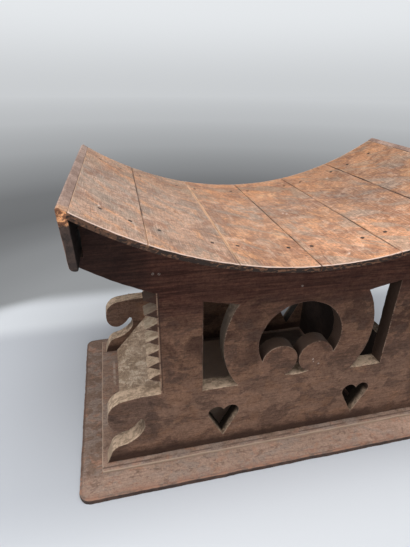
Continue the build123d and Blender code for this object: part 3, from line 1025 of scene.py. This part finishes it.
# %% [markdown]
# ## The seat's hollow
# The tops of the slats share one hollow, an arc of a circle. Its radius and centre are
# worked out from the highest points at both ends of the last slat.

# %% The hollow's radius and centre, from the slats


def hollow():
    """Radius and centre height of the seat's top arc, which is centred over the middle.

    Two highest points of the arc at different places x give x1^2 + (c - z1)^2 =
    x2^2 + (c - z2)^2 = radius^2, and so the centre's height c.
    """
    places = mesh_arrays("seat_slat_6")[0]
    x_ends = places[:, 0].min(), places[:, 0].max()
    upper = [places[np.abs(places[:, 0] - x) < 1e-5] for x in x_ends]
    (x1, z1), (x2, z2) = [points[np.argmax(points[:, 2])][[0, 2]] for points in upper]
    centre = (x2**2 - x1**2 + z2**2 - z1**2) / (2 * (z2 - z1))
    return math.hypot(x1, centre - z1), centre


seat_radius, seat_centre_z = hollow()
print("hollow radius %.1f mm, centre %.1f mm" % (seat_radius / mm, seat_centre_z / mm))

# %% [markdown]
# ## A left end that is not square
# The seat's left end runs a little askew, and what is fixed to it goes along: the end cap,
# its nails and the tip of the back panel. One function slides places along the hollow of
# the seat, by almost nothing at the front and by a few millimetres at the back.

# %% Slide what hangs at the left end
end_skew = (-0.6 * mm, 5.2 * mm)      # the left end's place along X, at the front and the back


def depth_share(y):
    """0 at the seat's front edge and 1 at its back edge."""
    return (y - seat_low.y) / (seat_high.y - seat_low.y)


def slid_with_end(points, share):
    """Slide an upright board's points by a share of the left end's skew.

    A slide by s along X lowers a point by s times the slope of the hollow at the end.
    """
    slide = (end_skew[0] + (end_skew[1] - end_skew[0]) * depth_share(-points[:, 2])) * share
    slope = math.tan(math.asin(-seat_low.x / seat_radius))
    moved = points.copy()
    moved[:, 0] += slide
    moved[:, 1] -= np.maximum(slide, 0) * slope
    return moved


print("the left end slides by %.1f mm in front and %.1f mm behind" % tuple(
    shift / mm for shift in end_skew))

# %% [markdown]
# ## The two side panels
# Front and back panel are alike: scroll feet, a row of saw teeth up each end, and windows,
# hearts and a ring with two round discs cut right through. Both are built from the same
# outline, with their own wobble and wear.

# %% Stand the panels up


def upright_place(points):
    """Plane coordinates are X and Z, and the level runs towards the front, along -Y."""
    return np.stack([points[:, 0], -points[:, 2], points[:, 1]], axis=1)


def upright_board(node, ending, spacing, wander, seed, arris, slot, **rest):
    """A board with its faces to front and back, cut along the outlines of its node."""
    lowest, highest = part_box(node)
    outline = [hand_cut(refined(loop, spacing), wander, seed) for loop in outlines_of(node, 1)]
    make_board(node + ending, node, outline, -highest.y, -lowest.y, upright_place,
               arris, arris, slot, **rest)


def uneven(points, seed, depth=0.25 * mm):
    """Both faces of an upright board bow together, and each is a little rough."""
    bow = waves(points[:, :2], 90 * mm, seed) * depth
    rough = waves(points, 14 * mm, seed + 1) * 0.06 * mm
    moved = points.copy()
    moved[:, 2] += bow + rough
    return moved, np.zeros(len(points))


def with_left_end(points, seed):
    """An uneven panel whose upper left tip goes along with the seat's left end."""
    out = smooth_step(-points[:, 0], body_half_width + 10 * mm, -seat_low.x - 5 * mm)
    tip = out * smooth_step(points[:, 1], teeth_high - 12 * mm, teeth_high + 16 * mm)
    moved, stain = uneven(points, seed)
    return slid_with_end(moved, tip), stain


for number, node in enumerate(("front_panel", "back_panel")):
    upright_board(node, "_carved", 1.8 * mm, 0.5 * mm, 21 + number,
                  worn_arris(0.35 * mm, 1.1 * mm, 23 + number, 16 * mm), "panel_wood",
                  tone=0.4 + 0.1 * number,
                  shape=lambda points, seed=25 + number: with_left_end(points, seed))

# %% [markdown]
# ## Boards between the panels
# Two upright partitions close the middle, and a sloping board leans on each from the end.

# %% Set the partitions and slopes
inner_boards = ("left_partition", "right_partition", "left_end_slope", "right_end_slope")
for number, node in enumerate(inner_boards):
    upright_board(node, "_plank", 2.5 * mm, 0.0, 0, worn_arris(0.3 * mm, 0.8 * mm, 31 + number),
                  "inner_wood", tone=0.6 + 0.05 * number)

# %% [markdown]
# ## Nails
# Forged nails hold the slats, the caps and the base. Their solids keep their shape under a
# coat of rust, and the wood around each head on the seat is sunk and blackened. For that the
# places of the heads are read from the nails themselves.

# %% Find the nail heads


def nail_heads(node):
    """Centre of each nail's head: the end of its long axis where it is widest.

    Points joined by triangles get the lowest label among them, over and over, until each
    nail has one label.
    """
    spots, triangles = mesh_arrays(node)
    labels = np.arange(len(spots))
    before = None
    while not np.array_equal(before, labels):
        before = labels.copy()
        lowest = labels[triangles].min(axis=1)
        for corner in range(3):
            np.minimum.at(labels, triangles[:, corner], lowest)
    heads = []
    for label in np.unique(labels):
        nail = spots[labels == label]
        centre = nail.mean(axis=0)
        axis = np.linalg.svd(nail - centre)[2][0]
        along = (nail - centre) @ axis
        width = np.linalg.norm(nail - centre - along[:, None] * axis, axis=1)
        axis = axis * np.sign(along[np.argmax(width)])
        heads.append(centre + axis * ((nail - centre) @ axis).max())
    return np.array(heads)


heads = {node: nail_heads(node) for node in ("seat_nails", "cap_nails", "base_nails")}
for node in heads:
    nodes[node].data.materials.clear()
    nodes[node].data.materials.append(finishes["nail_iron"])
print("nails:", {node: len(found) for node, found in heads.items()})

# %% [markdown]
# ## The seat
# Six slats lie side by side across the stool, and their tops share one hollow. A slat is
# built flat, as a plank with length along the curve, and then bent to the hollow's radius,
# so that its edges can be eased on all sides first.

# %% Bend a flat plank into the hollow


def bent_place(points):
    """Length runs along the arc, the second coordinate is Y, and the level is inward."""
    angle = points[:, 0] / seat_radius
    reach = seat_radius - points[:, 2]
    x, z = reach * np.sin(angle), seat_centre_z - reach * np.cos(angle)
    return np.stack([x, points[:, 1], z], axis=1)


def around(centres, radii, count=14):
    """Rings of points about each centre, for a fine mesh where the wood is dented."""
    angles = np.linspace(0, 2 * np.pi, count, endpoint=False)
    circle = np.stack([np.cos(angles), np.sin(angles)], axis=1)
    rings = centres[:, None, None] + np.array(radii)[None, :, None, None] * circle
    return np.concatenate([centres, rings.reshape(-1, 2)])


# %% [markdown]
# ## Joints that are not square
# The joints between the slats run a little askew, and so does the seat's left end. A slat
# therefore gets four corners of its own, and each joint is a place at the front and one at
# the back. Dirt has settled in some joints more than in others, and along one of them wax
# has been rubbed off to orange wood.

# %% Places of the joints, front and back
slat_thickness = seat_centre_z - seat_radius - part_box("seat_slat_3")[0].z
joint_skew = ((-1.5 * mm, 3.6 * mm), (1.2 * mm, 4.9 * mm), (0.8 * mm, 3.2 * mm),
              (0.7 * mm, -2.8 * mm), (2.1 * mm, -3.4 * mm))
joint_dirt = (0.6, 0.2, 0.7, 0.7, 0.9)
waxed_joint = 1
print("slats: %.1f mm thick, joints askew by up to %.1f mm" % (
    slat_thickness / mm, max(abs(back - front) for front, back in joint_skew) / mm))


def skewed(x, skew):
    """Lengths along the arc at the front and back of a line that stands at x."""
    return np.array([math.asin((x + shift) / seat_radius) * seat_radius for shift in skew])


def reach_from(points, line):
    """Distance along the arc from a line between its front and back places."""
    share = depth_share(points[:, 1])
    return np.abs(points[:, 0] - (line[0] * (1 - share) + line[1] * share))


def joint_stain(points, line, number):
    """Dirt from 0 to 1 beside a joint, or rubbed wax below 0.

    The first joint is rubbed at its front, and the waxed one all along.
    """
    share = depth_share(points[:, 1])
    near = 1 - smooth_step(reach_from(points, line), 0.2 * mm, 1.4 * mm)
    wide = 1 - smooth_step(reach_from(points, line), 0.8 * mm, 2.2 * mm)
    patchy = np.clip(0.8 + 0.5 * waves(points[:, :2], 35 * mm, 60 + number), 0, 1)
    if number == waxed_joint:
        middle = smooth_step(share, 0.02, 0.2) * (1 - smooth_step(share, 0.85, 0.97))
        return -wide * (0.25 + 0.75 * middle * patchy)
    if number == 0:
        dirty = joint_dirt[0] * patchy * smooth_step(share, 0.12, 0.3)
        return near * (dirty - 0.4 * (1 - smooth_step(share, 0.1, 0.3)))
    return near * joint_dirt[number] * patchy


# %% [markdown]
# Each slat is now cut between its two joints, sunk round its nails and bent. Its own mesh
# carries the dirt and the wax as a value at each point, so that they follow the joints.

# %% Bend the slats
slow_depth, fine_depth, pit_depth = 0.3 * mm, 0.1 * mm, 0.5 * mm
pit_radii = [0.8 * mm, 1.6 * mm, 2.1 * mm, 2.6 * mm, 3.2 * mm, 4.2 * mm]
half_gap = (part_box("seat_slat_2")[0].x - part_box("seat_slat_1")[1].x) / 2
joints = [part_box(f"seat_slat_{number}")[0].x - half_gap for number in range(2, 7)]
lines = [skewed(x, skew) for x, skew in zip(joints, joint_skew)]
left_line = skewed(seat_low.x, end_skew)
right_line = skewed(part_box("seat_slat_6")[1].x, (0, 0))

for number in range(6):
    node = f"seat_slat_{number + 1}"
    start = lines[number - 1] + half_gap if number else left_line
    end = lines[number] - half_gap if number < 5 else right_line
    front, back = seat_low.y, seat_high.y
    corners = np.array([[start[0], front], [end[0], front], [end[1], back], [start[1], back]])
    outline = [hand_cut(refined(corners, 1.6 * mm), 0.12 * mm, 41 + number)]
    nails = heads["seat_nails"]
    nails = nails[(nails[:, 0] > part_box(node)[0].x) & (nails[:, 0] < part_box(node)[1].x)]
    along = np.arctan2(nails[:, 0], seat_centre_z - nails[:, 2]) * seat_radius
    pits = np.stack([along, nails[:, 1]], axis=1)

    def slat_ease(loop, seed=43 + number):
        """Rounder at the slat's front and back ends than along its joints."""
        share = wave_share(loop, 14 * mm, seed)
        reach = np.minimum(loop[:, 1] - front, back - loop[:, 1])
        long_side = smooth_step(reach, 0.3 * mm, 3 * mm)
        return (0.5 + 0.5 * share) * mm * (1 - long_side) + (0.08 + 0.12 * share) * mm * long_side

    def slat_shape(points, pits=pits, number=number):
        """Sink nail pits and a slow unevenness into the upper face, and find the stains."""
        upper = np.clip((points[:, 2] + slat_thickness) / slat_thickness, 0, 1)
        pit = 1 - smooth_step(distance_to(points[:, :2], pits), 1.5 * mm, 2.6 * mm)
        slow = wave_share(points[:, :2], 60 * mm, 45 + number)
        fine = wave_share(points[:, :2], 11 * mm, 46 + number)
        moved = points.copy()
        moved[:, 2] -= upper * (slow_depth * slow + fine_depth * fine + pit_depth * pit)
        stain = 0.9 * pit
        for side in (number - 1, number):
            if 0 <= side < len(lines):
                stain = stain + joint_stain(points, lines[side], side)
        for line in (left_line, right_line):
            stain = stain - 0.35 * (1 - smooth_step(reach_from(points, line), 0.4 * mm, 1.6 * mm))
        return moved, np.clip(stain, -1, 1) * upper

    make_board(node + "_bent", node, outline, -slat_thickness, 0.0, bent_place,
               worn_arris(0.15 * mm, 0.3 * mm, 42), slat_ease, "seat_wood",
               tone=0.07 + 0.13 * number, grid=3.5 * mm, wall_gap=1.3 * mm,
               spots=around(pits, pit_radii), shape=slat_shape)

# %% [markdown]
# ## End caps
# A narrow board hangs at each end of the seat, nailed to the ends of the panels. The left
# one follows the seat's end, which is not square, and so do its nails. Its back upper
# corner has been knocked round.

# %% Hang the caps


def follow_end(points):
    """Take the cap along with the seat's end, its back upper corner worn round."""
    return slid_with_end(worn_corner(points), np.ones(len(points))), np.zeros(len(points))


def worn_corner(points, most=8 * mm, least=0.001 * mm):
    """Round the back upper corner: what lies beyond a quarter circle comes back onto it.

    The circle's radius grows from the least to the most towards the top of the cap.
    """
    radius = most * smooth_step(points[:, 1], cap_top - 22 * mm, cap_top - 6 * mm) + least
    centre_x = points[:, 0].min() + radius
    centre_level = points[:, 2].min() + radius
    across, along = centre_x - points[:, 0], centre_level - points[:, 2]
    beyond = np.hypot(across, along) / radius
    outside = (across > 0) & (along > 0) & (beyond > 1)
    moved = points.copy()
    moved[outside, 0] = (centre_x - across / beyond)[outside]
    moved[outside, 2] = (centre_level - along / beyond)[outside]
    return moved


spots, triangles = mesh_arrays("cap_nails")
upright = np.stack([spots[:, 0], spots[:, 2], -spots[:, 1]], axis=1)
upright = slid_with_end(upright, (spots[:, 0] < 0).astype(float))
make_piece("cap_nails_moved", "cap_nails", upright_place(upright), triangles.tolist(),
           "nail_iron", {})

for number, node in enumerate(("left_end_cap", "right_end_cap")):
    upright_board(node, "_worn", 1.4 * mm, 0.3 * mm, 51 + number,
                  worn_arris(0.5 * mm, 1.4 * mm, 53 + number, 12 * mm), "seat_wood",
                  finish="cap_wood", tone=0.9 + 0.05 * number, grid=3 * mm,
                  shape=(follow_end, None)[number])

# %% [markdown]
# ## Floor, light and camera
# A pale floor, three large soft lamps, above, at the left and in front, and dim light from
# all around: plain, even light. Only what the camera sees of the floor changes: a painted
# shadow lies on it about the stool, and further away it turns into a glowing grey, painted
# darker in a band for the shade of a studio sweep. The light that the floor throws back stays
# the same.

# %% Floor
floor_mesh = bpy.data.meshes.new("floor")
floor_reach = 6.0
corner_signs = ((-1, -1), (1, -1), (1, 1), (-1, 1))
floor_corners = [(x * floor_reach, y * floor_reach, 0) for x, y in corner_signs]
floor_mesh.from_pydata(floor_corners, [], [(0, 1, 2, 3)])
floor = bpy.data.objects.new("floor", floor_mesh)
bpy.context.scene.collection.objects.link(floor)

paper_edge = (0.43, 0.56)                     # metres from the stool, where the paper fades
paper_back = (0.245, 0.33)                    # and metres behind its middle
# The stool's painted shadow on the paper lies between these places along Y.
shadow_front = (-0.24, -0.11)                    # and along Y, where it is dimmer about the stool
shadow_back = (0.16, 0.21)
light_paper, shadowed_paper, thrown_back = (0.81, 0.84, 0.88), (0.60, 0.625, 0.67), (0.4, 0.41, 0.43)
# The grey dips darkest about 0.85 m away: painted shade of a studio sweep.
grey_stops = ((0.46, 0.31), (6.0, 0.60), (0.55, 0.27), (0.64, 0.25), (0.72, 0.20),
              (0.85, 0.16), (1.1, 0.18), (1.3, 0.24), (1.9, 0.37), (3.1, 0.50))
grey_tint = (0.97, 1.0, 1.03)


def grey(level):
    """A cool grey of a level from 0 to 1."""
    return tuple(level * share for share in grey_tint)


def floor_paper():
    """Pale paper near the stool, with a painted shadow about it, which turns into a glowing
    grey background further away, painted darker in a band.

    Share of grey = fade with the distance from the stool + fade behind it, 1 at most.
    """
    material = bpy.data.materials.new("floor_paper")
    material.use_nodes = True
    tree = material.node_tree
    tree.nodes.clear()
    start = Field(tree)
    path = start.node("LightPath", "Is Camera Ray").socket.node
    seen = Field(tree, path.outputs["Is Camera Ray"]) + Field(tree, path.outputs["Is Glossy Ray"])
    places = start.node("TexCoord", "Object")
    distance = start.node("VectorMath", "Value", {"operation": "LENGTH"}, in0=places)
    depth = start.node("SeparateXYZ", "Y", None, Vector=places)
    # Painted shadow on the paper about the stool.
    floor_shadow = depth.between(*shadow_front) * depth.below(*shadow_back)
    colour = seen.blend(thrown_back, floor_shadow.blend(light_paper, shadowed_paper))
    paper = start.node("BsdfDiffuse", 0, None, Color=colour)
    stops = [(place / floor_reach, grey(level)) for place, level in grey_stops]
    far = start.node("ValToRGB", "Color", {"stops": stops}, Fac=distance * (1 / floor_reach))
    glow = start.node("Emission", 0, None, Color=far, Strength=1.0)
    gone = (distance.between(*paper_edge) + depth.between(*paper_back)).between(0.0, 1.0)
    mixed = start.node("MixShader", 0, None, Fac=gone * seen, in1=paper, in2=glow)
    output = tree.nodes.new("ShaderNodeOutputMaterial")
    tree.links.new(mixed.socket, output.inputs["Surface"])
    return material


floor_mesh.materials.append(floor_paper())
print("floor: %.0f m wide, paper up to %.2f m" % (2 * floor_reach, paper_edge[1]))

# %% [markdown]
# Lamps with a wide face give soft shadows, as a cloudy sky does. Their power is set so
# that a colour looks about as it is written. What the camera sees behind the stool is a
# plain grey, brighter than the light that comes from there.

# %% World and lamps
world = bpy.context.scene.world or bpy.data.worlds.new("studio")
bpy.context.scene.world = world
world.use_nodes = True
world.node_tree.nodes.clear()
sky = Field(world.node_tree)
path = sky.node("LightPath", "Is Camera Ray").socket.node
rays = [Field(world.node_tree, path.outputs[f"Is {kind} Ray"])
        for kind in ("Camera", "Glossy", "Transmission")]
seen = rays[0] + rays[1] + rays[2]
direction = sky.node("TexCoord", "Generated")
height = direction.node("SeparateXYZ", "Z", None, Vector=direction)
backdrop = height.between(-0.05, 0.12).blend(grey(0.61), grey(0.81))
from_all_around = (0.17, 0.175, 0.18)
colour = seen.blend(from_all_around, backdrop)
background = sky.node("Background", 0, None, Color=colour, Strength=1.0)
output = world.node_tree.nodes.new("ShaderNodeOutputWorld")
world.node_tree.links.new(background.socket, output.inputs["Surface"])


def softbox(name, place, aim, size, power):
    """A round area lamp of a size in metres and a power in watts, turned towards a place."""
    data = bpy.data.lights.new(name, "AREA")
    data.shape = "DISK"
    data.size = size
    data.energy = power
    lamp = bpy.data.objects.new(name, data)
    lamp.location = place
    lamp.rotation_euler = (Vector(aim) - lamp.location).to_track_quat("-Z", "Y").to_euler()
    bpy.context.scene.collection.objects.link(lamp)
    print(f"{name}: {size} m wide, {power} W")


softbox("key_softbox", (0.1, -0.35, 1.55), (0, 0, 0.2), 1.1, 15)
softbox("left_softbox", (-1.25, -0.25, 0.75), (-0.1, 0, 0.12), 0.9, 8)
softbox("front_softbox", (-0.2, -1.7, 0.55), (0, 0, 0.12), 1.0, 7)

# %% [markdown]
# A wide lens close by: the near corner of the base looks large and the far end runs out
# of the frame. The camera's turn is put together from three angles, because each of them
# can be judged by eye: to the side, downwards, and a little roll.

# %% Camera
camera_place = Vector((-176.8, -408.9, 394.3)) * mm
camera_yaw = math.radians(13.34)      # to the right of +Y
camera_pitch = math.radians(27.38)    # downwards
camera_roll = math.radians(0.77)
frame_long_side = 547
focal_pixels = 397.45


def camera_axes(yaw, pitch, roll):
    """Right, up and forward directions of a camera that looks along +Y when unturned."""
    forward = Vector((math.sin(yaw) * math.cos(pitch), math.cos(yaw) * math.cos(pitch),
                      -math.sin(pitch)))
    right = Vector((math.cos(yaw), -math.sin(yaw), 0))
    up = right.cross(forward)
    return (math.cos(roll) * right + math.sin(roll) * up,
            -math.sin(roll) * right + math.cos(roll) * up, forward)


right, up, forward = camera_axes(camera_yaw, camera_pitch, camera_roll)
camera_data = bpy.data.cameras.new("camera")
camera_data.sensor_width = 36
camera_data.lens = focal_pixels / frame_long_side * camera_data.sensor_width
camera_data.clip_start = 0.01
camera = bpy.data.objects.new("camera", camera_data)
turn = Matrix((right, up, -forward)).transposed().to_4x4()
camera.matrix_world = Matrix.Translation(camera_place) @ turn
bpy.context.scene.collection.objects.link(camera)
bpy.context.scene.camera = camera
bpy.context.scene.view_settings.view_transform = "Standard"
print("lens %.2f mm" % camera_data.lens)
